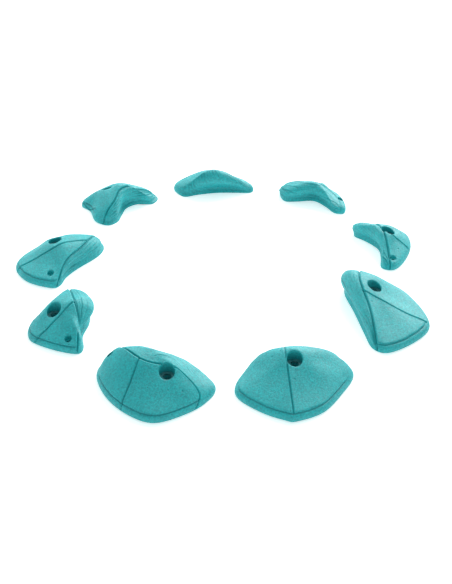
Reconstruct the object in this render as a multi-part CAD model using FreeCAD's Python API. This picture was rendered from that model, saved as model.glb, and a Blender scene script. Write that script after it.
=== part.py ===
import FreeCAD
import Part
import math
import os

# Nine moulded climbing holds with their cast-in bolt washers, laid on their flat back
# faces in a ring, as a set is laid out before it is bolted to a wall.
#
# Frame, in millimetres: Z up, back faces on Z = 0, X to the right, Y away from the front.
# Each hold has a smooth panel side that faces out of the ring and a hollowed gripping side
# that faces the middle. A vertical bolt hole goes through each hold, with a counterbore
# that ends on a steel washer. Six holds also have a drilled hole for a set screw, which
# stops the hold from turning on its bolt.

# Bolt hardware, common to all holds (M10 bolt)
BOLT_HOLE_D = 11.0
COUNTERBORE_D = 20.0
WASHER_D = 19.6
WASHER_T = 2.5
WASHER_DEPTH = 9.0        # from the centre of the counterbore mouth down to the washer

# Set screw hardware
SCREW_HOLE_D = 4.8
SCREW_MOUTH_D = 9.6

# The upright border band round the panel side
BORDER_H = 8.5

# Smoothness of the outline: columns of surface poles per section
COLUMNS = 5
RING_OUTER = 12.0         # the surface ends on a flat ring round the counterbore
RING_INNER = 5.0

# Middle of the whole set in the layout plan below, moved to the origin
SET_CENTRE = (-8.5, -24.6)


def panel(x, y, mid, top):
    """Section over the panel side. x, y is the foot; mid and top are (radius, height)."""
    r = math.hypot(x, y)
    band = [(r + 0.8, BORDER_H * 0.7), (r - 2.4, BORDER_H + 1.5)]
    return (x, y, band + [mid, top])


def grip(x, y, hollow, nose, crest):
    """Section over the gripping side: an undercut hollow, the nose and the crest."""
    r = math.hypot(x, y)
    return (x, y, [(r - hollow, nose[1] * 0.42), nose, crest])


# ---- hold shapes ----
# bolt: plan position of the bolt axis. mouth: height of the counterbore mouth.
# slope: rise of the mouth plane along X and Y. screw: set screw hole from the bolt axis,
# with the height of its seat. ribs: sections round the bolt axis, anticlockwise.

HOLDS = {}

# Low arch, gripping side towards the middle of the set
HOLDS["hold_1"] = {
    "bolt": (-9, 246), "mouth": 27.0, "slope": (0.0, -0.60), "screw": None,
    "ribs": [
        grip(-54, -36, 3, (66, 10), (50, 27)),
        grip(-30, -30, 6, (46, 18), (32, 38)),
        grip(0, -24, 9, (36, 22), (26, 41)),
        grip(32, -24, 8, (46, 16), (34, 30)),
        grip(54, -24, 3, (60, 8), (44, 17)),
        panel(58, -12, (42, 13), (22, 24)),
        panel(38, 8, (28, 12), (18, 19)),
        panel(8, 20, (19, 12), (15, 17)),
        panel(-24, 18, (25, 14), (17, 23)),
        panel(-54, 8, (42, 15), (22, 27)),
        panel(-70, -12, (54, 15), (28, 30)),
    ]}

# Curved sausage shape with a low right end
HOLDS["hold_2"] = {
    "bolt": (152, 222), "mouth": 18.5, "slope": (0.05, -0.60), "screw": (38, -38, 7),
    "ribs": [
        grip(-30, -27, 8, (50, 18), (32, 31)),
        grip(-4, -25, 8, (34, 20), (24, 32)),
        grip(14, -43, 8, (52, 17), (40, 27)),
        grip(26, -61, 4, (70, 10), (54, 18)),
        panel(42, -62, (60, 13), (36, 17)),
        panel(44, -40, (43, 12), (26, 17)),
        panel(34, -14, (26, 11), (17, 15)),
        panel(2, 14, (14.5, 11), (13.5, 13)),
        panel(-34, 16, (28, 13), (18, 18)),
        panel(-54, 4, (46, 17), (25, 22)),
        grip(-57, -9, -3, (63, 11), (48, 23)),
        grip(-50, -26, -2, (60, 12), (44, 27)),
    ]}

# Hook shape: a hollowed arm to the left and a panelled leg to the front
HOLDS["hold_3"] = {
    "bolt": (250, 68), "mouth": 28.0, "slope": (-0.45, -0.15), "screw": (3, -50, 10),
    "ribs": [
        panel(4, -62, (42, 13), (20, 23)),
        panel(22, -40, (30, 15), (17, 22)),
        panel(35, -6, (27, 14), (17, 22)),
        panel(32, 22, (29, 14), (18, 23)),
        panel(8, 31, (25, 19), (16, 27)),
        panel(-22, 36, (32, 20), (19, 29)),
        grip(-42, 37, -4, (63, 11), (50, 23)),
        grip(-45, 25, -3, (58, 12), (45, 25)),
        grip(-30, 12, 6, (36, 17), (24, 32)),
        grip(-13, -9, 3, (24, 17), (18, 31)),
        grip(-12, -32, 4, (38, 14), (28, 26)),
        grip(-14, -57, 3, (58, 10), (44, 19)),
    ]}

# Large wedge, its hollowed edge along the left
HOLDS["hold_4"] = {
    "bolt": (212, -80), "mouth": 33.5, "slope": (-0.45, 0.15), "screw": None,
    "ribs": [
        panel(10, -103, (62, 17), (24, 30)),
        panel(44, -84, (56, 18), (24, 27)),
        panel(70, -56, (58, 13), (26, 22)),
        panel(70, -28, (52, 11), (24, 21)),
        panel(59, 2, (42, 13), (21, 23)),
        panel(45, 27, (38, 17), (20, 27)),
        panel(22, 42, (34, 24), (19, 33)),
        panel(-2, 50, (40, 27), (20, 37)),
        grip(-30, 48, 4, (67, 18), (49, 35)),
        grip(-36, 24, 4, (58, 21), (38, 40)),
        grip(-27, -14, 4, (39, 20), (27, 38)),
        grip(-18, -62, 4, (65, 15), (52, 28)),
        grip(-10, -94, 2, (94, 10), (76, 20)),
    ]}

# Broad shell shape with two panels
HOLDS["hold_5"] = {
    "bolt": (93, -239), "mouth": 38.0, "slope": (-0.08, 0.50), "screw": (62, 28, 12),
    "ribs": [
        panel(0, -74, (45, 17), (20, 28)),
        panel(34, -58, (38, 19), (20, 28)),
        panel(60, -24, (40, 24), (20, 32)),
        panel(77, 10, (52, 22), (24, 34)),
        grip(60, 36, 4, (64, 18), (48, 31)),
        grip(24, 46, 6, (54, 17), (36, 32)),
        grip(-14, 40, 6, (44, 19), (28, 35)),
        grip(-46, 28, 6, (56, 18), (42, 31)),
        panel(-70, -2, (50, 19), (26, 32)),
        panel(-73, -31, (54, 17), (26, 29)),
        panel(-43, -58, (44, 19), (20, 29)),
        panel(-14, -72, (44, 19), (20, 29)),
    ]}

# Tall shell shape with the highest crest of the set
HOLDS["hold_6"] = {
    "bolt": (-68, -262), "mouth": 37.0, "slope": (0.0, 0.62), "screw": (-74, 40, 12),
    "ribs": [
        panel(-14, -54, (34, 17), (18, 26)),
        panel(24, -38, (30, 20), (18, 28)),
        panel(48, -18, (33, 22), (18, 31)),
        panel(60, 6, (40, 18), (20, 33)),
        grip(46, 32, 4, (53, 11), (42, 20)),
        grip(20, 46, 6, (52, 16), (34, 33)),
        grip(-14, 52, 6, (54, 22), (34, 45)),
        grip(-52, 56, 4, (74, 25), (57, 48)),
        panel(-85, 51, (84, 38), (52, 54)),
        panel(-92, 27, (74, 34), (38, 49)),
        panel(-76, -10, (54, 25), (26, 37)),
        panel(-47, -40, (40, 21), (20, 30)),
    ]}

# Triangular wedge with a rounded gripping lobe on the right
HOLDS["hold_7"] = {
    "bolt": (-227, -129), "mouth": 30.0, "slope": (0.40, 0.45), "screw": (23, -43, 10),
    "ribs": [
        panel(-18, -38, (28, 14), (17, 21)),
        panel(11, -51, (32, 18), (18, 24.5)),
        panel(36, -56, (42, 20), (22, 26.5)),
        grip(42, -44, 2, (60, 11), (50, 26)),
        grip(38, -20, 4, (44, 17), (35, 34)),
        grip(44, 8, 5, (60, 21), (37, 42)),
        grip(40, 34, 5, (64, 21), (46, 38)),
        grip(20, 56, 4, (66, 18), (48, 34)),
        panel(-4, 46, (34, 23), (18, 35)),
        panel(-26, 18, (24, 16), (15, 27)),
        panel(-35, -4, (26, 14), (16, 23)),
        panel(-33, -25, (30, 12), (18, 19)),
    ]}

# Long wing with a waist on the gripping side
HOLDS["hold_8"] = {
    "bolt": (-248, 38), "mouth": 30.0, "slope": (0.25, -0.15), "screw": (0, -60, 10),
    "ribs": [
        panel(3, -77, (45, 17), (20, 29)),
        panel(-34, -62, (45, 16), (20, 27)),
        panel(-55, -31, (46, 13), (22, 24)),
        panel(-45, -2, (32, 14), (18, 22)),
        panel(-21, 16, (22, 15), (15, 25)),
        panel(18, 30, (28, 18), (18, 27)),
        panel(46, 43, (45, 19), (27, 29)),
        grip(67, 29, 3, (71, 15), (55, 25)),
        grip(62, 3, 5, (66, 17), (48, 29)),
        grip(34, -30, 6, (48, 18), (32, 33)),
        grip(20, -52, 4, (60, 13), (44, 25)),
        grip(15, -69, 2, (73, 9), (56, 17)),
    ]}

# Branching shape: a leg to the front and an arm to the right over a deep undercut
HOLDS["hold_9"] = {
    "bolt": (-184, 187), "mouth": 29.0, "slope": (0.25, -0.50), "screw": None,
    "ribs": [
        grip(4, -62, 3, (62, 10), (45, 24)),
        grip(19, -52, 4, (56, 13), (40, 28)),
        grip(24, -32, 6, (43, 20), (30, 35)),
        grip(30, -12, 8, (38, 24), (25, 40)),
        grip(48, 0, 8, (54, 21), (37, 36)),
        grip(70, 0, 5, (70, 12), (52, 25)),
        grip(78, 18, 2, (76, 9), (56, 21)),
        panel(58, 34, (48, 20), (26, 32)),
        panel(20, 32, (28, 22), (18, 30)),
        panel(-12, 25, (25, 13), (16, 22)),
        panel(-34, 9, (30, 11), (18, 21)),
        panel(-41, -7, (34, 13), (19, 24)),
        panel(-26, -22, (28, 15), (18, 25)),
        panel(-16, -50, (38, 17), (22, 27)),
    ]}


# ---- surfaces ----

def shoulder(crest, rim_z):
    """Pole between a crest and the rim of the counterbore, level or on the straight line up."""
    radius, height = crest
    d = max(16.0, radius * 0.6)
    straight = height + (rim_z - height) * (radius - d) / (radius - RING_OUTER)
    return (d, max(height, straight))


def rib_points(rib, hold):
    """Pole points of one section, from the foot up to the ring round the counterbore."""
    x, y, profile = rib
    r = math.hypot(x, y)
    ux = x / r
    uy = y / r
    rise = hold["slope"][0] * ux + hold["slope"][1] * uy
    rim = [(d, hold["mouth"] + rise * d) for d in (RING_OUTER, RING_INNER)]
    rows = [(r + 0.8, 0.0), (r + 1.6, 2.0)] + list(profile)
    if len(profile) == 3:
        rows.append(shoulder(profile[2], rim[0][1]))
    return [(ux * d, uy * d, z) for d, z in rows + rim]


def blend(p0, p1, p2, p3, t):
    """Smooth blend from p1 to p2, shaped by the neighbours p0 and p3."""
    out = []
    for a, b, c, d in zip(p0, p1, p2, p3):
        cubic = 2 * b + (c - a) * t
        cubic += (2 * a - 5 * b + 4 * c - d) * t * t
        cubic += (3 * b - a - 3 * c + d) * t * t * t
        out.append(0.5 * cubic)
    return tuple(out)


def pole_net(hold):
    """Columns of poles all the way round the hold, relative to the bolt axis."""
    ribs = [rib_points(rib, hold) for rib in hold["ribs"]]
    count = len(ribs)
    columns = []
    for i in range(count):
        near = [ribs[(i + k) % count] for k in (-1, 0, 1, 2)]
        for step in range(COLUMNS):
            t = step / COLUMNS
            columns.append([blend(*four, t) for four in zip(*near)])
    return columns


# ---- solids ----

def skin_solid(hold):
    """Closed solid under the smooth surface of one hold, before drilling."""
    bx = hold["bolt"][0] - SET_CENTRE[0]
    by = hold["bolt"][1] - SET_CENTRE[1]
    columns = pole_net(hold)
    poles = []
    for column in columns:
        poles.append([FreeCAD.Vector(bx + p[0], by + p[1], p[2]) for p in column])
    rows = len(columns[0])
    u_knots = [float(i) for i in range(len(columns) + 1)]
    v_knots = [float(i) for i in range(rows - 2)]
    u_mults = [1] * len(u_knots)
    v_mults = [4] + [1] * (rows - 4) + [4]
    surface = Part.BSplineSurface()
    surface.buildFromPolesMultsKnots(poles, u_mults, v_mults, u_knots, v_knots,
                                     True, False, 3, 3)
    skin = surface.toShape()
    faces = [skin]
    for v in (v_knots[0], v_knots[-1]):
        edge = surface.vIso(v).toShape()
        faces.append(Part.Face(Part.Wire([edge])))
    shell = Part.Shell(faces)
    shell.sewShape()
    solid = Part.Solid(shell)
    if solid.Volume < 0:
        solid.reverse()
    return solid


def bore(x, y, z, diameter, height):
    return Part.makeCylinder(diameter / 2, height, FreeCAD.Vector(x, y, z))


def make_body(hold):
    """One hold with its counterbore, bolt hole and set screw hole."""
    x = hold["bolt"][0] - SET_CENTRE[0]
    y = hold["bolt"][1] - SET_CENTRE[1]
    seat = hold["mouth"] - WASHER_DEPTH - WASHER_T
    solid = skin_solid(hold)
    solid = solid.cut(bore(x, y, seat, COUNTERBORE_D, 80.0))
    solid = solid.cut(bore(x, y, -5.0, BOLT_HOLE_D, 60.0))
    if hold["screw"]:
        sx = x + hold["screw"][0]
        sy = y + hold["screw"][1]
        solid = solid.cut(bore(sx, sy, hold["screw"][2], SCREW_MOUTH_D, 80.0))
        solid = solid.cut(bore(sx, sy, -5.0, SCREW_HOLE_D, 60.0))
    return solid


def make_washer(hold):
    """Steel washer at the bottom of the counterbore."""
    x = hold["bolt"][0] - SET_CENTRE[0]
    y = hold["bolt"][1] - SET_CENTRE[1]
    seat = hold["mouth"] - WASHER_DEPTH - WASHER_T
    ring = bore(x, y, seat, WASHER_D, WASHER_T)
    return ring.cut(bore(x, y, seat - 1.0, BOLT_HOLE_D, WASHER_T + 2.0))


def main():
    os.makedirs("parts", exist_ok=True)
    total = None
    for name in HOLDS:
        body = make_body(HOLDS[name])
        washer = make_washer(HOLDS[name])
        box = body.optimalBoundingBox(False, False)
        print(name, "valid", body.isValid(), "solids", len(body.Solids),
              "volume cm3 %.1f" % (body.Volume / 1000.0),
              "size %.1f %.1f %.1f" % (box.XLength, box.YLength, box.ZLength))
        body.exportStep("parts/" + name + "_body.step")
        washer.exportStep("parts/" + name + "_washer.step")
        if total is None:
            total = box
        else:
            total.add(box)
    print("set x %.2f to %.2f, y %.2f to %.2f, z %.2f to %.2f" % (
        total.XMin, total.XMax, total.YMin, total.YMax, total.ZMin, total.ZMax))


main()
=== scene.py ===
import math

import bmesh
import bpy
import numpy as np
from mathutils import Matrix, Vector


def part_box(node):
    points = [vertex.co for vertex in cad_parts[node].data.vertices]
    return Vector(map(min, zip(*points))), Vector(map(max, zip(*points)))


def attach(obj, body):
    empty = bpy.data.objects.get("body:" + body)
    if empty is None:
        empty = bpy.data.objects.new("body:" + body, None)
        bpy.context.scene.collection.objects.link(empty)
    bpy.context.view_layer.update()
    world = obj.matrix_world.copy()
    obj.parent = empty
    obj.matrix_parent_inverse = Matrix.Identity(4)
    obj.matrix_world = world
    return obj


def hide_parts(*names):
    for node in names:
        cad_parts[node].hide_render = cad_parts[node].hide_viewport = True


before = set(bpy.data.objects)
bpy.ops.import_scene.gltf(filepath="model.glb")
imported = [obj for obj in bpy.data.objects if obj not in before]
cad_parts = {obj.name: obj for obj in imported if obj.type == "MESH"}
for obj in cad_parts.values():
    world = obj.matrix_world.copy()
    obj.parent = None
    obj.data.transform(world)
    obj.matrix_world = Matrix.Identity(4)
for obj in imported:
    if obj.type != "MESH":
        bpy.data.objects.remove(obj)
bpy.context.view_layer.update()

MM = 0.001      # metres in a millimetre

# ---------------------------------------------------------------------------
# Shapes of the nine holds. Lengths are in millimetres from each hold's bolt
# axis; the bolt axis and the washer seat come from the washer in the frame.
# These are the same sections as the frame's solids, so the fine surfaces
# built here lie close to them.
#
# mouth, slope  height of the counterbore's rim plane on the bolt axis, and its slope
# screw         plan position and seat height of the small screw's hole
# lip           bearings in degrees between which the border band has a groove above it
# ribs          sections from the foot to the crest, anticlockwise round the hold
# edge, outer   plan line between the raised panel and the gripping side, and the
#               corners, in order, that close the panel's side of it
# groove        whether that line is engraved as well
# lines         more engraved plan lines
# strata        how many striations share the gripping side, and their slant per mm
# hollow        strength of the undercut hollow low on the gripping side, dug in and painted with shade
# ---------------------------------------------------------------------------

BORDER_H = 8.5
COLUMNS = 5
FOOT_OUT = 0.8
FOOT_TOP_OUT = 1.6
FOOT_TOP_H = 2.0
BAND_SHARE = 0.7
BAND_IN = 2.4
BAND_RISE = 1.5
NOSE_SHARE = 0.42
SHOULDER_MIN = 16.0
SHOULDER_SHARE = 0.6
GRIP_WEIGHTS = [0.7, 0.9, 1.0, 1.0, 1.0, 0.45, 0.0, 0.0]
RING_OUTER = 12.0
RING_INNER = 5.0
BORE_R = 5.5
BORE_EASE = 0.3
MOUTH_R = 10.0
RIM_R = 1.3
SCREW_R = 2.4
SCREW_MOUTH_R = 4.8
SCREW_RIM = 1.4
SCREW_RIM_DROP = 1.1


def panel(x, y, mid, top):
    """Section over the smooth panel side, with its upright border band."""
    r = math.hypot(x, y)
    band = [(r + FOOT_OUT, BORDER_H * BAND_SHARE), (r - BAND_IN, BORDER_H + BAND_RISE)]
    return (x, y, band + [mid, top], False)


def grip(x, y, hollow, nose, crest):
    """Section over the gripping side: undercut (it swells where hollow is negative), nose, crest."""
    r = math.hypot(x, y)
    return (x, y, [(r - hollow, nose[1] * NOSE_SHARE), nose, crest], True)


HOLDS = {}

HOLDS["hold_1"] = dict(
    mouth=27.0, slope=(0.0, -0.60), screw=None,
    lip=None,
    ribs=[
        grip(-54, -36, 3, (66, 10), (50, 27)),
        grip(-30, -30, 6, (46, 18), (32, 38)),
        grip(0, -24, 9, (36, 22), (26, 41)),
        grip(32, -24, 8, (46, 16), (34, 30)),
        grip(54, -24, 3, (60, 8), (44, 17)),
        panel(58, -12, (42, 13), (22, 24)),
        panel(38, 8, (28, 12), (18, 19)),
        panel(8, 20, (19, 12), (15, 17)),
        panel(-24, 18, (25, 14), (17, 23)),
        panel(-54, 8, (42, 15), (22, 27)),
        panel(-70, -12, (54, 15), (28, 30)),
    ],
    edge=[(-86, -10), (-20, 6), (20, 4), (76, -14)], outer=[(90, 60), (-100, 60)],
    groove=False, lines=[], strata=(7, 0.10), hollow=0.8)

HOLDS["hold_2"] = dict(
    mouth=18.5, slope=(0.05, -0.60), screw=(38, -38, 7),
    lip=None,
    ribs=[
        grip(-30, -27, 8, (50, 18), (32, 31)),
        grip(-4, -25, 8, (34, 20), (24, 32)),
        grip(14, -43, 8, (52, 17), (40, 27)),
        grip(26, -61, 4, (70, 10), (54, 18)),
        panel(42, -62, (60, 13), (36, 17)),
        panel(44, -40, (43, 12), (26, 17)),
        panel(34, -14, (26, 11), (17, 15)),
        panel(2, 14, (14.5, 11), (13.5, 13)),
        panel(-34, 16, (28, 13), (18, 18)),
        panel(-54, 4, (46, 17), (25, 22)),
        grip(-57, -9, -3, (63, 11), (48, 23)),
        grip(-50, -26, -2, (60, 12), (44, 27)),
    ],
    edge=[(-66, 2), (-10, -6), (26, -28), (40, -70)],
    outer=[(70, -70), (60, 20), (0, 50), (-70, 40)],
    groove=False, lines=[], strata=(6, 0.0), hollow=0.7)

HOLDS["hold_3"] = dict(
    mouth=28.0, slope=(-0.45, -0.15), screw=(3, -50, 10),
    lip=None,
    ribs=[
        panel(4, -62, (42, 13), (20, 23)),
        panel(22, -40, (30, 15), (17, 22)),
        panel(35, -6, (27, 14), (17, 22)),
        panel(32, 22, (29, 14), (18, 23)),
        panel(8, 31, (25, 19), (16, 27)),
        panel(-22, 36, (32, 20), (19, 29)),
        grip(-42, 37, -4, (63, 11), (50, 23)),
        grip(-45, 25, -3, (58, 12), (45, 25)),
        grip(-30, 12, 6, (36, 17), (24, 32)),
        grip(-13, -9, 3, (24, 17), (18, 31)),
        grip(-12, -32, 4, (38, 14), (28, 26)),
        grip(-14, -57, 3, (58, 10), (44, 19)),
    ],
    edge=[(-26, 50), (-10, 0), (-4, -35), (-2, -70)],
    outer=[(30, -90), (70, -50), (80, 20), (30, 70)],
    groove=True, lines=[[(4, -10), (30, -20)]], strata=(5, 0.0), hollow=0.6)

HOLDS["hold_4"] = dict(
    mouth=33.5, slope=(-0.45, 0.15), screw=None,
    lip=(-96, -40),
    ribs=[
        panel(10, -103, (62, 17), (24, 30)),
        panel(44, -84, (56, 18), (24, 27)),
        panel(70, -56, (58, 13), (26, 22)),
        panel(70, -28, (52, 11), (24, 21)),
        panel(59, 2, (42, 13), (21, 23)),
        panel(45, 27, (38, 17), (20, 27)),
        panel(22, 42, (34, 24), (19, 33)),
        panel(-2, 50, (40, 27), (20, 37)),
        grip(-30, 48, 4, (67, 18), (49, 35)),
        grip(-36, 24, 4, (58, 21), (38, 40)),
        grip(-27, -14, 4, (39, 20), (27, 38)),
        grip(-18, -62, 4, (65, 15), (52, 28)),
        grip(-10, -94, 2, (94, 10), (76, 20)),
    ],
    edge=[(-10, 70), (-20, 10), (-10, -45), (-4, -112)],
    outer=[(20, -140), (120, -80), (120, 0), (70, 80)],
    groove=True, lines=[[(-18, -14), (68, -50)]], strata=(6, 0.0), hollow=0.3)

HOLDS["hold_5"] = dict(
    mouth=38.0, slope=(-0.08, 0.50), screw=(62, 28, 12),
    lip=(-163, -8),
    ribs=[
        panel(0, -74, (45, 17), (20, 28)),
        panel(34, -58, (38, 19), (20, 28)),
        panel(60, -24, (40, 24), (20, 32)),
        panel(77, 10, (52, 22), (24, 34)),
        grip(60, 36, 4, (64, 18), (48, 31)),
        grip(24, 46, 6, (54, 17), (36, 32)),
        grip(-14, 40, 6, (44, 19), (28, 35)),
        grip(-46, 28, 6, (56, 18), (42, 31)),
        panel(-70, -2, (50, 19), (26, 32)),
        panel(-73, -31, (54, 17), (26, 29)),
        panel(-43, -58, (44, 19), (20, 29)),
        panel(-14, -72, (44, 19), (20, 29)),
    ],
    edge=[(-96, 6), (-60, 16), (-30, 25), (0, 28), (30, 28), (50, 32), (64, 40), (90, 40)],
    outer=[(120, 0), (70, -100), (-70, -110), (-120, -40)],
    groove=False, lines=[[(-13, 25), (-4, -70)]], strata=(4, 0.0), hollow=0.0)

HOLDS["hold_6"] = dict(
    mouth=37.0, slope=(0.0, 0.62), screw=(-74, 40, 12),
    lip=(165, 340),
    ribs=[
        panel(-14, -54, (34, 17), (18, 26)),
        panel(24, -38, (30, 20), (18, 28)),
        panel(48, -18, (33, 22), (18, 31)),
        panel(60, 6, (40, 18), (20, 33)),
        grip(46, 32, 4, (53, 11), (42, 20)),
        grip(20, 46, 6, (52, 16), (34, 33)),
        grip(-14, 52, 6, (54, 22), (34, 45)),
        grip(-52, 56, 4, (74, 25), (57, 48)),
        panel(-85, 51, (84, 38), (52, 54)),
        panel(-92, 27, (74, 34), (38, 49)),
        panel(-76, -10, (54, 25), (26, 37)),
        panel(-47, -40, (40, 21), (20, 30)),
    ],
    edge=[(-78, 62), (-35, 15), (12, 5), (40, -15), (36, -35)],
    outer=[(30, -70), (-20, -90), (-120, -50), (-120, 60)],
    groove=True, lines=[[(-35, 14), (-57, -34)]], strata=(6, 0.0), hollow=0.0)

HOLDS["hold_7"] = dict(
    mouth=30.0, slope=(0.40, 0.45), screw=(23, -43, 10),
    lip=(175, 305),
    ribs=[
        panel(-18, -38, (28, 14), (17, 21)),
        panel(11, -51, (32, 18), (18, 24.5)),
        panel(36, -56, (42, 20), (22, 26.5)),
        grip(42, -44, 2, (60, 11), (50, 26)),
        grip(38, -20, 4, (44, 17), (35, 34)),
        grip(44, 8, 5, (60, 21), (37, 42)),
        grip(40, 34, 5, (64, 21), (46, 38)),
        grip(20, 56, 4, (66, 18), (48, 34)),
        panel(-4, 46, (34, 23), (18, 35)),
        panel(-26, 18, (24, 16), (15, 27)),
        panel(-35, -4, (26, 14), (16, 23)),
        panel(-33, -25, (30, 12), (18, 19)),
    ],
    edge=[(10, 62), (28, 5), (35, -20), (36, -62)],
    outer=[(30, -90), (-60, -80), (-80, 0), (-50, 80)],
    groove=True, lines=[[(-24, -36), (-16, -32), (28, 4)]], strata=(6, 0.0), hollow=0.2)

HOLDS["hold_8"] = dict(
    mouth=30.0, slope=(0.25, -0.15), screw=(0, -60, 10),
    lip=(212, 277),
    ribs=[
        panel(3, -77, (45, 17), (20, 29)),
        panel(-34, -62, (45, 16), (20, 27)),
        panel(-55, -31, (46, 13), (22, 24)),
        panel(-45, -2, (32, 14), (18, 22)),
        panel(-21, 16, (22, 15), (15, 25)),
        panel(18, 30, (28, 18), (18, 27)),
        panel(46, 43, (45, 19), (27, 29)),
        grip(67, 29, 3, (71, 15), (55, 25)),
        grip(62, 3, 5, (66, 17), (48, 29)),
        grip(34, -30, 6, (48, 18), (32, 33)),
        grip(20, -52, 4, (60, 13), (44, 25)),
        grip(15, -69, 2, (73, 9), (56, 17)),
    ],
    edge=[(64, 60), (45, -3), (20, -42), (8, -90)],
    outer=[(-60, -100), (-110, -20), (-70, 50), (0, 90)],
    groove=True, lines=[[(-52, -42), (-10, -24), (46, 3)]], strata=(6, 0.0), hollow=0.3)

HOLDS["hold_9"] = dict(
    mouth=29.0, slope=(0.25, -0.50), screw=None,
    lip=(195, 246),
    ribs=[
        grip(4, -62, 3, (62, 10), (45, 24)),
        grip(19, -52, 4, (56, 13), (40, 28)),
        grip(24, -32, 6, (43, 20), (30, 35)),
        grip(30, -12, 8, (38, 24), (25, 40)),
        grip(48, 0, 8, (54, 21), (37, 36)),
        grip(70, 0, 5, (70, 12), (52, 25)),
        grip(78, 18, 2, (76, 9), (56, 21)),
        panel(58, 34, (48, 20), (26, 32)),
        panel(20, 32, (28, 22), (18, 30)),
        panel(-12, 25, (25, 13), (16, 22)),
        panel(-34, 9, (30, 11), (18, 21)),
        panel(-41, -7, (34, 13), (19, 24)),
        panel(-26, -22, (28, 15), (18, 25)),
        panel(-16, -50, (38, 17), (22, 27)),
    ],
    edge=[(84, 30), (28, -7), (12, -38), (-12, -74)],
    outer=[(-30, -90), (-80, -50), (-80, 40), (0, 80), (90, 70)],
    groove=True, lines=[[(-40, -8), (-16, -36)]], strata=(7, 0.0), hollow=0.8)

# ---------------------------------------------------------------------------
# Surface of one hold. Depths, widths and distances are in millimetres.
# ---------------------------------------------------------------------------

AROUND = 560
UP = 150
FINE_UP = 420
SOFTEN_SWEEPS = 40
FAR = 1e9
UPWARD = 0.1

PLATE_H = 1.25
LIP_Z = 9.4
LIP_DEPTH = 1.0
LIP_WIDTH = 0.95
LIP_DOWN = 0.2

LAY_STEPS = 24
LAY_GAP_SQUARED = 2.0
GROOVE_REACH = 9.0
GROOVE_DEPTH = 1.6
GROOVE_WIDTH = 0.9
TROUGH_DEPTH = 0.3
TROUGH_WIDTH = 2.4
SHOULDER_H = 0.35
SHOULDER_AT = 2.2
SHOULDER_WIDTH = 1.1
# how dark the painted shade in an engraved groove is
GROOVE_SHADE = 0.85

COLUMN_MM = 0.8
REACH_SWEEPS = 60
REACH_MIN = 10.0
STRIATION_DEPTH = 1.25
STRIATION_WIDTH = 0.95
STRIATION_RISE = 0.55
STRIATION_RISE_AT = 2.4
STRIATION_RISE_WIDTH = 1.4
# how dark the painted shade in a striation is
STRIATION_SHADE = 0.80
HOLLOW_DEPTH = 2.2
HOLLOW_UP = 7.0
HOLLOW_WIDTH = 4.5
# how dark the painted shade in the undercut hollow is
HOLLOW_SHADE = 0.45
PINHOLES = 4
PINHOLE_DEPTH = 0.8
PINHOLE_WIDTH = 1.0

# unevenness: how strong, and lattice cells per millimetre
DRIFT = 0.30
DRIFT_SCALE = 0.04
WOBBLE = 0.12
WOBBLE_SCALE = 0.11
PATCH_SCALE = 0.05
GRIP_UNEVEN = 0.3
SWELL_H = 0.22
SWELL_SCALE = 0.045
RIPPLE_H = 0.05
RIPPLE_SCALE = 0.35

# rings below the skin: degrees round the rim, shares of the way down the counterbore's
# wall and the bolt hole, radii on the seat, and shares of the way out over the flat back
RIM_TURNS = (25, 50, 75, 90)
WALL_SHARES = (0.12, 0.3, 0.5, 0.7, 0.88, 1.0)
SEAT_RADII = (8.6, 7.0, BORE_R + BORE_EASE, BORE_R)
BORE_SHARES = (0.25, 0.5, 0.75, 1.0)
BACK_SHARES = (0.2, 0.45, 0.7, 0.9)
# painted shade on the seat and down the bolt hole
SEAT_SHADE = 0.8


def shoulder(crest, rim_z):
    """Pole between a crest and the rim of the counterbore, level or on the straight line up."""
    radius, height = crest
    d = max(SHOULDER_MIN, radius * SHOULDER_SHARE)
    straight = height + (rim_z - height) * (radius - d) / (radius - RING_OUTER)
    return (d, max(height, straight))


def rib_points(rib, hold):
    """Poles of one section as x, y, z and how far it belongs to the gripping side."""
    x, y, profile, gripping = rib
    r = math.hypot(x, y)
    ux, uy = x / r, y / r
    rise = hold["slope"][0] * ux + hold["slope"][1] * uy
    rim = [(d, hold["mouth"] + rise * d) for d in (RING_OUTER, RING_INNER)]
    rows = [(r + FOOT_OUT, 0.0), (r + FOOT_TOP_OUT, FOOT_TOP_H)] + list(profile)
    weight = [0.0] * len(GRIP_WEIGHTS)
    if gripping:
        rows.append(shoulder(profile[2], rim[0][1]))
        weight = GRIP_WEIGHTS
    return [(ux * d, uy * d, z, w) for (d, z), w in zip(rows + rim, weight)]


def pole_net(hold):
    """Columns of poles round the hold, blended between the sections."""
    ribs = np.array([rib_points(rib, hold) for rib in hold["ribs"]])
    columns = []
    for i in range(len(ribs)):
        a, b, c, d = ribs[i - 1], ribs[i], ribs[(i + 1) % len(ribs)], ribs[(i + 2) % len(ribs)]
        for step in range(COLUMNS):
            t = step / COLUMNS
            columns.append(0.5 * (2 * b + (c - a) * t + (2 * a - 5 * b + 4 * c - d) * t * t
                                  + (3 * b - a - 3 * c + d) * t ** 3))
    return np.array(columns)


def periodic_basis(n, count):
    """Uniform cubic B-spline basis round a closed loop."""
    basis = np.zeros((count, n))
    t = np.arange(count) / count * n
    i = t.astype(int)
    f = t - i
    weights = [(1 - f) ** 3 / 6, (3 * f ** 3 - 6 * f ** 2 + 4) / 6,
               (-3 * f ** 3 + 3 * f ** 2 + 3 * f + 1) / 6, f ** 3 / 6]
    for k in range(4):
        np.add.at(basis, (np.arange(count), (i - 1 + k) % n), weights[k])
    return basis


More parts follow.
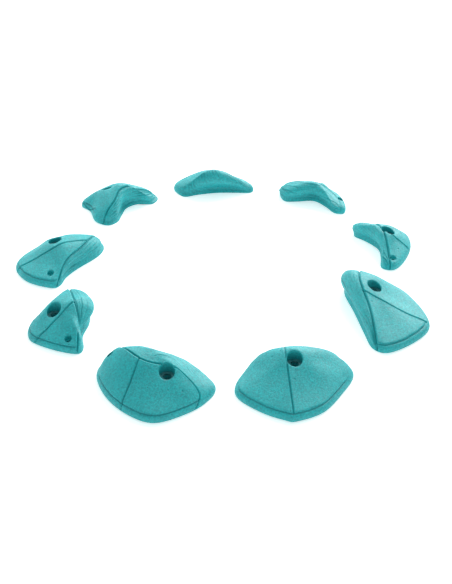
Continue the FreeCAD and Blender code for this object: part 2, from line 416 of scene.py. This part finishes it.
def clamped_basis(m, count):
    """Clamped cubic B-spline basis from the foot to the top ring."""
    spans = m - 3
    knots = np.array([0.0] * 3 + list(range(spans + 1)) + [spans] * 3)
    basis = np.zeros((count, m))
    for a, t in enumerate(np.linspace(0, spans - 1e-9, count)):
        n = np.array([1.0 if knots[i] <= t < knots[i + 1] else 0.0 for i in range(len(knots) - 1)])
        for deg in range(1, 4):
            for i in range(len(knots) - 1 - deg):
                left = right = 0.0
                if knots[i + deg] > knots[i]:
                    left = (t - knots[i]) / (knots[i + deg] - knots[i]) * n[i]
                if knots[i + deg + 1] > knots[i + 1]:
                    right = (knots[i + deg + 1] - t) / (knots[i + deg + 1] - knots[i + 1]) * n[i + 1]
                n[i] = left + right
        basis[a] = n[:m]
    return basis


def skin_grid(hold, around, up):
    """Even grid over the skin, from the foot up to the rim of the counterbore."""
    net = pole_net(hold)
    fine = np.einsum("au,bv,uvc->abc", periodic_basis(len(net), around),
                     clamped_basis(net.shape[1], FINE_UP), net)
    grid = np.zeros((around, up, 4))
    stop = MOUTH_R + RIM_R
    for a in range(around):
        p = fine[a]
        r = np.hypot(p[:, 0], p[:, 1])
        inside = np.where(r < stop)[0]
        last = inside[0] if len(inside) else len(p) - 1
        f = (r[last - 1] - stop) / max(r[last - 1] - r[last], 1e-9)
        end = p[last - 1] + (p[last] - p[last - 1]) * min(max(f, 0.0), 1.0)
        line = np.vstack([p[:last], end])
        step = np.linalg.norm(np.diff(line[:, :3], axis=0), axis=1)
        s = np.concatenate([[0.0], np.cumsum(step)])
        want = np.linspace(0.0, s[-1], up)
        for c in range(4):
            grid[a, :, c] = np.interp(want, s, line[:, c])
    return grid


def soften(grid, sweep):
    """Rounds the skin off between its foot and the counterbore, repeated sweep times."""
    up = grid.shape[1]
    row = np.arange(up) / (up - 1.0)
    top = 1 - smoothstep(0.93, 0.99, row)
    on_panel = smoothstep(0.22, 0.40, row) * top
    on_grip = smoothstep(0.04, 0.20, row) * top
    grip_share = np.clip(grid[..., 3:4], 0, 1)
    amount = on_panel[None, :, None] * (1 - grip_share) + on_grip[None, :, None] * grip_share
    p = grid[..., :3].copy()
    for _ in range(sweep):
        side = (np.roll(p, 1, 0) + np.roll(p, -1, 0)) / 2
        along = p.copy()
        along[:, 1:-1] = (p[:, :-2] + p[:, 2:]) / 2
        p += amount * 0.5 * ((side + along) / 2 - p)
    out = grid.copy()
    out[..., :3] = p
    return out


def grid_normals(p):
    """Unit normals of the grid, pointing out of the hold."""
    du = np.roll(p, -1, 0) - np.roll(p, 1, 0)
    dv = np.gradient(p, axis=1)
    n = np.cross(du, dv)
    n /= np.linalg.norm(n, axis=2, keepdims=True) + 1e-12
    if n[:, n.shape[1] // 2:, 2].mean() < 0:
        n = -n
    return n


def smooth_line(points, steps=8):
    """Catmull-Rom curve through the points."""
    p = np.array(points, float)
    p = np.vstack([2 * p[0] - p[1], p, 2 * p[-1] - p[-2]])
    out = []
    for i in range(1, len(p) - 2):
        a, b, c, d = p[i - 1], p[i], p[i + 1], p[i + 2]
        for k in range(steps):
            t = k / steps
            out.append(0.5 * (2 * b + (c - a) * t + (2 * a - 5 * b + 4 * c - d) * t * t
                              + (3 * b - a - 3 * c + d) * t ** 3))
    out.append(p[-2])
    return np.array(out)


def line_distance(points, line):
    """Distance from each point to a line of straight pieces."""
    best = np.full(len(points), FAR)
    for a, b in zip(line[:-1], line[1:]):
        ab = b - a
        t = np.clip(((points - a) @ ab) / max(ab @ ab, 1e-9), 0, 1)
        d = np.linalg.norm(points - (a + t[:, None] * ab), axis=1)
        best = np.minimum(best, d)
    return best


def lay(line, points, facing):
    """The plan line laid down on the upward side of the skin, where it crosses it."""
    tops = points[facing > UPWARD]
    laid = []
    for p in line:
        gap = ((tops[:, :2] - p) ** 2).sum(axis=1)
        k = np.argmin(gap)
        if gap[k] < LAY_GAP_SQUARED:
            laid.append(tops[k])
    laid = np.array(laid)
    laid[1:-1] = (laid[:-2] + 2 * laid[1:-1] + laid[2:]) / 4
    return laid


def near_line(points, line, reach):
    """The points within reach of the line, and their distances from it."""
    low, high = line.min(axis=0) - reach, line.max(axis=0) + reach
    index = np.where(np.all((points > low) & (points < high), axis=1))[0]
    d = line_distance(points[index], line)
    close = d < reach
    return index[close], d[close]


def inside_polygon(points, polygon):
    """Which points lie inside the closed polygon."""
    x, y = points[:, 0], points[:, 1]
    inside = np.zeros(len(points), bool)
    j = len(polygon) - 1
    for i in range(len(polygon)):
        xi, yi = polygon[i]
        xj, yj = polygon[j]
        if yi != yj:
            crosses = ((yi > y) != (yj > y)) & (x < (xj - xi) * (y - yi) / (yj - yi) + xi)
            inside ^= crosses
        j = i
    return inside


def smoothstep(a, b, x):
    """0 below a, 1 above b, smooth between."""
    t = np.clip((x - a) / (b - a), 0, 1)
    return t * t * (3 - 2 * t)


# large numbers that scramble a lattice corner's whole coordinates into a repeatable value
HASH_X = 73856093
HASH_Y = 19349663
HASH_Z = 83492791
HASH_SEED = 2654435
HASH_STIR = 1274126177


def value_noise(p, seed):
    """Smooth lattice noise in three dimensions, from -1 to 1."""
    i = np.floor(p).astype(np.int64)
    f = p - i
    f = f * f * (3 - 2 * f)
    total = np.zeros(len(p))
    for corner in range(8):
        o = np.array([corner & 1, (corner >> 1) & 1, (corner >> 2) & 1])
        c = i + o
        h = (c[:, 0] * HASH_X) ^ (c[:, 1] * HASH_Y) ^ (c[:, 2] * HASH_Z) ^ (seed * HASH_SEED)
        h = (h ^ (h >> 13)) * HASH_STIR
        v = ((h ^ (h >> 16)) & 65535) / 32767.5 - 1.0
        w = np.prod(np.where(o == 1, f, 1 - f), axis=1)
        total += v * w
    return total


def bell(distance, width):
    """1 on a line, fading with distance from it."""
    return np.exp(-(distance / width) ** 2)


def sculpt(hold, grid, seed):
    """Raised panel, engraved grooves, striations, undercut hollow and pinholes, with painted shade
    in the grooves, striations, hollow and pinholes.
    """
    shape = grid.shape[:2]
    pos = grid[..., :3]
    normal = grid_normals(pos)
    flat = pos.reshape(-1, 3)
    gripping = grid[..., 3].reshape(-1)
    step = np.linalg.norm(np.diff(pos, axis=1), axis=2)
    s = np.concatenate([np.zeros((shape[0], 1)), np.cumsum(step, axis=1)], axis=1)

    # how far the lip groove reaches round the hold
    if hold["lip"]:
        low, high = hold["lip"]
        turn = np.degrees(np.arctan2(flat[:, 1], flat[:, 0]))
        past = np.abs((turn - (low + high) / 2 + 180) % 360 - 180) - (high - low) / 2
        lipped = 1 - smoothstep(-5.0, 5.0, past)
    else:
        lipped = np.zeros(len(flat))

    # distance up the surface from the lip line
    above = pos[..., 2] > LIP_Z
    first = np.argmax(above, axis=1)
    s_lip = s[np.arange(shape[0]), first]
    d_lip = (s - s_lip[:, None]).reshape(-1)

    edge = smooth_line(hold["edge"])
    d_edge = line_distance(flat[:, :2], edge)
    region = inside_polygon(flat[:, :2], list(map(tuple, edge)) + hold["outer"])
    signed = np.where(region, d_edge, -d_edge)
    plates = smoothstep(-0.3, 2.0, signed)
    plates *= lipped * smoothstep(0.2, 2.2, d_lip) + (1 - lipped) * smoothstep(-6.0, 14.0, d_lip)

    lift = PLATE_H * plates
    # the lip groove is dug in and painted with shade
    lip = bell(d_lip + LIP_DOWN, LIP_WIDTH) * smoothstep(-2.5, 1.5, signed) * lipped
    lift -= LIP_DEPTH * lip
    painted_shade = np.maximum(np.zeros(len(flat)), lip)

    # engraved lines, each with a shallow trough round it and a raised shoulder beside it, and
    # painted shade in the groove
    facing = normal.reshape(-1, 3)[:, 2]
    for line in hold["lines"] + ([hold["edge"]] if hold["groove"] else []):
        index, d = near_line(flat, lay(smooth_line(line, LAY_STEPS), flat, facing), GROOVE_REACH)
        groove = bell(d, GROOVE_WIDTH)
        lift[index] -= GROOVE_DEPTH * groove + TROUGH_DEPTH * bell(d, TROUGH_WIDTH)
        lift[index] += SHOULDER_H * bell(d - SHOULDER_AT, SHOULDER_WIDTH)
        painted_shade[index] = np.maximum(painted_shade[index], GROOVE_SHADE * groove)

    # striations on the gripping side: lines that share out the way from foot to edge, each with
    # painted shade in it
    side = np.clip(gripping * 1.3, 0, 1) * (1 - smoothstep(-1.5, 0.5, signed))
    up_skin = s.reshape(-1)
    beyond = (signed > -1.0).reshape(shape)
    reach = np.where(beyond.any(axis=1), s[np.arange(shape[0]), np.argmax(beyond, axis=1)], s[:, -1])
    for _ in range(REACH_SWEEPS):
        reach = (np.roll(reach, 1) + 2 * reach + np.roll(reach, -1)) / 4
    reach = np.repeat(np.maximum(reach, REACH_MIN), shape[1])
    count, slant = hold["strata"]
    turn_mm = np.repeat(np.arange(shape[0]), shape[1]) * COLUMN_MM
    phase = count * up_skin / reach + slant * turn_mm
    drift = DRIFT * value_noise(flat * DRIFT_SCALE, seed)
    wobble = WOBBLE * value_noise(flat * WOBBLE_SCALE, seed + 1)
    phase += drift + wobble
    ply = np.round(phase)
    d = (phase - ply) * reach / count
    strength = 0.45 + 0.55 * np.abs(np.sin(ply * 2.4 + seed))
    strength *= 0.35 + 0.65 * smoothstep(-0.5, 0.4, value_noise(flat * PATCH_SCALE, seed + 2))
    strength *= side * smoothstep(2.0, 6.0, up_skin)
    near = bell(d, STRIATION_WIDTH) * strength
    ridge = bell(d - STRIATION_RISE_AT, STRIATION_RISE_WIDTH) * strength
    lift += STRIATION_RISE * ridge - STRIATION_DEPTH * near
    painted_shade = np.maximum(painted_shade, STRIATION_SHADE * near)
    lift += side * value_noise(flat * WOBBLE_SCALE, seed + 3) * GRIP_UNEVEN
    # undercut hollow low on the gripping side, dug in and painted with shade
    shade = hold["hollow"] * np.clip(gripping, 0, 1) * bell(up_skin - HOLLOW_UP, HOLLOW_WIDTH)
    lift -= HOLLOW_DEPTH * shade
    painted_shade = np.maximum(painted_shade, HOLLOW_SHADE * shade)

    # a few pinholes left by air bubbles, painted with shade inside
    tops = np.where((facing > 0.5) & (signed > 4.0))[0]
    rng = np.random.default_rng(seed)
    for k in rng.choice(tops, PINHOLES):
        pit = bell(np.linalg.norm(flat - flat[k], axis=1), PINHOLE_WIDTH)
        lift -= PINHOLE_DEPTH * pit
        painted_shade = np.maximum(painted_shade, pit)

    # slow unevenness of a hand-carved pattern
    lift += SWELL_H * value_noise(flat * SWELL_SCALE, seed + 8)
    lift += RIPPLE_H * value_noise(flat * RIPPLE_SCALE, seed + 9)

    # nothing moves at the foot, and nothing goes below the surface the hold lies on
    lift *= smoothstep(0.0, 2.0, s.reshape(-1))
    out = flat + normal.reshape(-1, 3) * lift[:, None]
    out[:, 2] = np.maximum(out[:, 2], 0.0)

    # rounded edge of the screw's mouth
    if hold["screw"]:
        d = np.hypot(out[:, 0] - hold["screw"][0], out[:, 1] - hold["screw"][1])
        t = np.clip((SCREW_MOUTH_R + SCREW_RIM - d) / SCREW_RIM, 0, 1)
        drop = SCREW_RIM_DROP * (1 - np.sqrt(np.clip(1 - t * t, 0, 1)))
        out[:, 2] -= np.where(facing > UPWARD, drop, 0.0)
    return out.reshape(shape + (3,)), painted_shade.reshape(shape)


def hold_mesh(name, hold, seed):
    """One closed hold: skin, rim, counterbore, seat, bolt hole and flat back."""
    around, up = AROUND, UP
    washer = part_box(name + "_washer")
    low, high = np.array(washer[0]), np.array(washer[1])
    cx, cy = (low[:2] + high[:2]) / 2 / MM
    seat = low[2] / MM
    grid = soften(skin_grid(hold, around, up), SOFTEN_SWEEPS)
    skin, painted_shade = sculpt(hold, grid, seed)
    rows = [skin[:, k] for k in range(up)]
    marks = [painted_shade[:, k] for k in range(up)]
    last = rows[-1]
    lr = np.hypot(last[:, 0], last[:, 1])
    ux, uy = last[:, 0] / lr, last[:, 1] / lr

    def ring(r, z, shade_paint):
        rows.append(np.stack([ux * r, uy * r, np.broadcast_to(z, ux.shape)], axis=1))
        marks.append(np.full(around, shade_paint))

    # the rings carry painted shade, darker further down into the counterbore and the bolt hole
    top = last[:, 2]
    for deg in RIM_TURNS:
        a = math.radians(deg)
        ring(MOUTH_R + RIM_R * (1 - math.sin(a)), top - RIM_R * (1 - math.cos(a)), 0.15 * deg / 90)
    wall_top = top - RIM_R
    for f in WALL_SHARES:
        ring(MOUTH_R, wall_top * (1 - f) + seat * f, 0.2 + 0.6 * f)
    for r in SEAT_RADII:
        ring(r, seat, SEAT_SHADE)
    for f in BORE_SHARES:
        ring(BORE_R, seat * (1 - f), SEAT_SHADE)
    foot = rows[0]
    inner = rows[-1]
    for f in BACK_SHARES:
        rows.append(inner * (1 - f) + foot * f)
        marks.append(np.zeros(around))
    count = len(rows)
    pts = np.stack(rows, axis=1)
    pts[..., 0] += cx
    pts[..., 1] += cy
    a = np.repeat(np.arange(around), count)
    b = np.tile(np.arange(count), around)
    a2, b2 = (a + 1) % around, (b + 1) % count
    faces = np.stack([a * count + b, a2 * count + b, a2 * count + b2, a * count + b2], axis=1)
    mesh = bpy.data.meshes.new(name)
    mesh.vertices.add(around * count)
    mesh.vertices.foreach_set("co", (pts * MM).reshape(-1).astype(np.float32))
    mesh.loops.add(faces.size)
    mesh.loops.foreach_set("vertex_index", faces.reshape(-1).astype(np.int32))
    mesh.polygons.add(len(faces))
    mesh.polygons.foreach_set("loop_start", np.arange(0, faces.size, 4, dtype=np.int32))
    mesh.update(calc_edges=True)
    # painted shade for the material, one value per vertex
    shade_paint = mesh.attributes.new("painted_shade", "FLOAT", "POINT")
    shade_paint.data.foreach_set("value", np.stack(marks, axis=1).reshape(-1).astype(np.float32))
    mesh.update()
    return mesh, cx, cy


def add_object(name, mesh):
    """A new object in the scene with this mesh."""
    obj = bpy.data.objects.new(name, mesh)
    bpy.context.scene.collection.objects.link(obj)
    return obj


def cylinder_mesh(name, x, y, z0, z1, r, sides=64, shade_paint=0.75):
    """A closed upright cylinder carrying painted shade, so that the walls of the hole it cuts are
    painted dark.
    """
    verts, faces = [], []
    for z in (z0, z1):
        for i in range(sides):
            a = 2 * math.pi * i / sides
            verts.append(((x + r * math.cos(a)) * MM, (y + r * math.sin(a)) * MM, z * MM))
    for i in range(sides):
        j = (i + 1) % sides
        faces.append((i, j, sides + j, sides + i))
    faces.append(tuple(reversed(range(sides))))
    faces.append(tuple(range(sides, 2 * sides)))
    mesh = bpy.data.meshes.new(name)
    mesh.from_pydata(verts, [], faces)
    layer = mesh.attributes.new("painted_shade", "FLOAT", "POINT")
    layer.data.foreach_set("value", [shade_paint] * len(verts))
    mesh.update()
    return mesh


def fix_direction(mesh):
    """Faces point outwards."""
    bm = bmesh.new()
    bm.from_mesh(mesh)
    if bm.calc_volume(signed=True) < 0:
        bmesh.ops.reverse_faces(bm, faces=bm.faces)
    bm.to_mesh(mesh)
    bm.free()


def drill(obj, cutters):
    """Cuts the closed cutters out of the object."""
    for cutter in cutters:
        mod = obj.modifiers.new("drill", "BOOLEAN")
        mod.operation = "DIFFERENCE"
        mod.solver = "EXACT"
        mod.object = cutter
    deps = bpy.context.evaluated_depsgraph_get()
    done = bpy.data.meshes.new_from_object(obj.evaluated_get(deps), depsgraph=deps)
    obj.modifiers.clear()
    old = obj.data
    obj.data = done
    bpy.data.meshes.remove(old)
    for cutter in cutters:
        data = cutter.data
        bpy.data.objects.remove(cutter)
        bpy.data.meshes.remove(data)


# ---------------------------------------------------------------------------
# Materials
# ---------------------------------------------------------------------------

RESIN_DARK = (0.0, 0.392, 0.424)
RESIN_LIGHT = (0.0, 0.440, 0.474)
GRIT_DARK = (0.50, 0.70, 0.73)
GRIT_LIGHT = (1.8, 1.27, 1.23)
# dark teal of the painted shade in tiny pits
PINHOLE_SHADE_COLOR = (0.0, 0.17, 0.20)
# dark teal of the painted shade in grooves, hollows and holes
PAINTED_SHADE_COLOR = (0.0, 0.120, 0.155)
# steel tinted teal: painted reflection of the resin round the washer, over the steel's own grey
STEEL_TEAL_REFLECTION_DARK = (0.05, 0.32, 0.34)
STEEL_TEAL_REFLECTION_LIGHT = (0.24, 0.42, 0.44)
WHITE = (1.0, 1.0, 1.0)
BLACK = (0.0, 0.0, 0.0)


def grey(value):
    return (value, value, value)


def node(tree, kind, x, y, **values):
    """A new node at a place in the node editor."""
    n = tree.nodes.new(kind)
    n.location = (x, y)
    for key, value in values.items():
        setattr(n, key, value)
    return n


def new_material(name):
    """A material with one Principled shader, and its object coordinates."""
    mat = bpy.data.materials.new(name)
    mat.use_nodes = True
    tree = mat.node_tree
    tree.nodes.clear()
    out = node(tree, "ShaderNodeOutputMaterial", 900, 0)
    shader = node(tree, "ShaderNodeBsdfPrincipled", 600, 0)
    tree.links.new(shader.outputs[0], out.inputs[0])
    coord = node(tree, "ShaderNodeTexCoord", -1200, 0)
    return mat, tree, shader, coord.outputs["Object"]


def noise(tree, coord, scale, detail, x, y, rough=0.6):
    n = node(tree, "ShaderNodeTexNoise", x, y)
    n.inputs["Scale"].default_value = scale
    n.inputs["Detail"].default_value = detail
    n.inputs["Roughness"].default_value = rough
    tree.links.new(coord, n.inputs["Vector"])
    return n.outputs["Fac"]


def ramp(tree, value, stops, x, y):
    n = node(tree, "ShaderNodeValToRGB", x, y)
    elements = n.color_ramp.elements
    while len(elements) < len(stops):
        elements.new(0.5)
    for element, (place, color) in zip(elements, stops):
        element.position = place
        element.color = (*color, 1.0)
    tree.links.new(value, n.inputs[0])
    return n.outputs[0]


def mix(tree, kind, fac, a, b, x, y):
    n = node(tree, "ShaderNodeMix", x, y, data_type="RGBA", blend_type=kind)
    for socket, value in ((n.inputs[0], fac), (n.inputs[6], a), (n.inputs[7], b)):
        if isinstance(value, (int, float)):
            socket.default_value = value
        elif isinstance(value, tuple):
            socket.default_value = (*value, 1.0)
        else:
            tree.links.new(value, socket)
    return n.outputs[2]


def resin_material():
    """Sandy moulded resin: gritty grain, slight mottling, painted shade of small dark pits, and
    painted shade in the creases, hollows and holes.
    """
    mat, tree, shader, coord = new_material("hold_resin")
    mottle = noise(tree, coord, 38.0, 3.0, -900, 400)
    base = ramp(tree, mottle, [(0.32, RESIN_DARK), (0.68, RESIN_LIGHT)], -600, 400)
    grain = noise(tree, coord, 430.0, 3.0, -900, 100, 0.75)
    speckle = ramp(tree, grain, [(0.34, GRIT_DARK), (0.50, WHITE), (0.66, GRIT_LIGHT)], -600, 100)
    color = mix(tree, "MULTIPLY", 1.0, base, speckle, -300, 300)
    # scattered dark dots: painted shade of tiny pits
    pin = node(tree, "ShaderNodeTexVoronoi", -900, -200)
    pin.inputs["Scale"].default_value = 95.0
    tree.links.new(coord, pin.inputs["Vector"])
    pinhole_shade = ramp(tree, pin.outputs["Distance"], [(0.035, WHITE), (0.075, BLACK)], -600, -200)
    color = mix(tree, "MIX", pinhole_shade, color, PINHOLE_SHADE_COLOR, -50, 300)
    # painted shade: darker where the meshes carry it, in grooves, striations, hollows, pinholes and
    # down the holes
    painted_shade = node(tree, "ShaderNodeAttribute", -900, -450, attribute_name="painted_shade")
    deep = ramp(tree, painted_shade.outputs["Fac"], [(0.10, BLACK), (1.0, grey(0.50))], -600, -450)
    color = mix(tree, "MIX", deep, color, PAINTED_SHADE_COLOR, 200, 300)
    tree.links.new(color, shader.inputs["Base Color"])
    rough_noise = noise(tree, coord, 210.0, 2.0, -900, -700)
    rough = ramp(tree, rough_noise, [(0.3, grey(0.50)), (0.7, grey(0.64))], -600, -700)
    tree.links.new(rough, shader.inputs["Roughness"])
    shader.inputs["Specular IOR Level"].default_value = 0.75
    fine = noise(tree, coord, 1500.0, 3.0, -900, -950, 0.75)
    bump1 = node(tree, "ShaderNodeBump", 0, -500)
    bump1.inputs["Strength"].default_value = 0.8
    bump1.inputs["Distance"].default_value = 0.0004
    tree.links.new(fine, bump1.inputs["Height"])
    bump2 = node(tree, "ShaderNodeBump", 250, -500)
    bump2.inputs["Strength"].default_value = 0.7
    bump2.inputs["Distance"].default_value = 0.0007
    tree.links.new(grain, bump2.inputs["Height"])
    tree.links.new(bump1.outputs[0], bump2.inputs["Normal"])
    tree.links.new(bump2.outputs[0], shader.inputs["Normal"])
    return mat


def washer_material():
    """Zinc-plated steel with turning marks and a little dust, tinted teal as painted reflection of
    the resin round it.
    """
    mat, tree, shader, coord = new_material("washer_steel")
    cloud = noise(tree, coord, 260.0, 4.0, -900, 300)
    color = ramp(tree, cloud, [(0.3, STEEL_TEAL_REFLECTION_DARK), (0.7, STEEL_TEAL_REFLECTION_LIGHT)], -600, 300)
    tree.links.new(color, shader.inputs["Base Color"])
    rough = ramp(tree, cloud, [(0.3, grey(0.30)), (0.7, grey(0.48))], -600, 0)
    tree.links.new(rough, shader.inputs["Roughness"])
    shader.inputs["Metallic"].default_value = 0.85
    scratch = noise(tree, coord, 1900.0, 2.0, -900, -300)
    bump = node(tree, "ShaderNodeBump", 200, -300)
    bump.inputs["Strength"].default_value = 0.25
    bump.inputs["Distance"].default_value = 0.0002
    tree.links.new(scratch, bump.inputs["Height"])
    tree.links.new(bump.outputs[0], shader.inputs["Normal"])
    return mat


def floor_material():
    """White seamless paper."""
    mat, tree, shader, coord = new_material("floor_paper")
    fibre = noise(tree, coord, 60.0, 3.0, -900, 300)
    color = ramp(tree, fibre, [(0.3, grey(0.93)), (0.7, grey(0.95))], -600, 300)
    tree.links.new(color, shader.inputs["Base Color"])
    shader.inputs["Roughness"].default_value = 0.9
    shader.inputs["Specular IOR Level"].default_value = 0.1
    shader.inputs["Emission Color"].default_value = (*WHITE, 1.0)
    shader.inputs["Emission Strength"].default_value = 0.42
    return mat


# ---------------------------------------------------------------------------
# Build
# ---------------------------------------------------------------------------

FLOOR_SIZE = 36.0
FLOOR_DROP = 0.0004
SKY_COLOR = (0.75, 1.0, 1.0)
SKY_STRENGTH = 0.56
SEED_FIRST = 11
SEED_STEP = 7
CUT_TOP = 90
CUT_BELOW = -5
THROUGH_TOP = 60
THROUGH_SIDES = 40
SHARP_ANGLE = 50
CAMERA_BELOW_LEVEL = 37.0
CAMERA_REACH = 1.491
VIEW_OFFSET = (0.0144, -0.0242)
SENSOR_MM = 24.0
LENS_MM = 42.74

resin = resin_material()
steel = washer_material()

for index, (name, hold) in enumerate(HOLDS.items()):
    mesh, cx, cy = hold_mesh(name, hold, SEED_FIRST + SEED_STEP * index)
    fix_direction(mesh)
    obj = add_object(name + "_moulding", mesh)
    if hold["screw"]:
        sx, sy, sz = hold["screw"]
        px, py = cx + sx, cy + sy
        mouth = cylinder_mesh("cut_a", px, py, sz, CUT_TOP, SCREW_MOUTH_R)
        through = cylinder_mesh("cut_b", px, py, CUT_BELOW, THROUGH_TOP, SCREW_R, THROUGH_SIDES)
        drill(obj, [add_object("cut_a", mouth), add_object("cut_b", through)])
    obj.data.materials.clear()
    obj.data.materials.append(resin)
    obj.data.shade_smooth()
    obj.data.set_sharp_from_angle(angle=math.radians(SHARP_ANGLE))
    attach(obj, name)
    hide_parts(name + "_body")
    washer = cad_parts[name + "_washer"]
    for slot in washer.material_slots:
        slot.material = steel

# floor
bpy.ops.mesh.primitive_plane_add(size=FLOOR_SIZE, location=(0.0, 0.0, -FLOOR_DROP))
floor = bpy.context.object
floor.name = "floor"
floor.data.materials.append(floor_material())

# soft, bright studio light, strongest from behind on the right
world = bpy.data.worlds.new("studio")
bpy.context.scene.world = world
world.use_nodes = True
sky = world.node_tree.nodes["Background"]
sky.inputs["Color"].default_value = (*SKY_COLOR, 1.0)
sky.inputs["Strength"].default_value = SKY_STRENGTH


def area_light(name, place, target, size, power, color):
    """A square soft light at place, turned towards target."""
    data = bpy.data.lights.new(name, "AREA")
    data.shape = "SQUARE"
    data.size = size
    data.energy = power
    data.color = color
    light = bpy.data.objects.new(name, data)
    bpy.context.scene.collection.objects.link(light)
    light.location = place
    direction = Vector(target) - Vector(place)
    light.rotation_euler = direction.to_track_quat("-Z", "Y").to_euler()
    return light


area_light("overhead", place=(0.4, 0.5, 2.7), target=(0, 0, 0), size=2.0, power=10, color=WHITE)
area_light("left", place=(-1.2, 1.6, 1.1), target=(-0.1, 0, 0), size=1.2, power=17,
           color=(1.0, 0.95, 0.95))
area_light("back", place=(1.3, 2.5, 1.6), target=(0, 0, 0), size=2.2, power=132,
           color=(1.0, 0.80, 0.78))
bpy.context.scene.view_settings.view_transform = "Standard"

# camera at the photograph's viewing angle, aimed close to the middle of the ring
camera_data = bpy.data.cameras.new("camera")
camera_data.sensor_fit = "VERTICAL"
camera_data.sensor_height = SENSOR_MM
camera_data.lens = LENS_MM
camera = bpy.data.objects.new("camera", camera_data)
bpy.context.scene.collection.objects.link(camera)
tilt = math.radians(CAMERA_BELOW_LEVEL)
camera.location = (VIEW_OFFSET[0],
                   VIEW_OFFSET[1] - CAMERA_REACH * math.cos(tilt),
                   CAMERA_REACH * math.sin(tilt))
camera.rotation_euler = (math.radians(90.0) - tilt, 0.0, 0.0)
bpy.context.scene.camera = camera
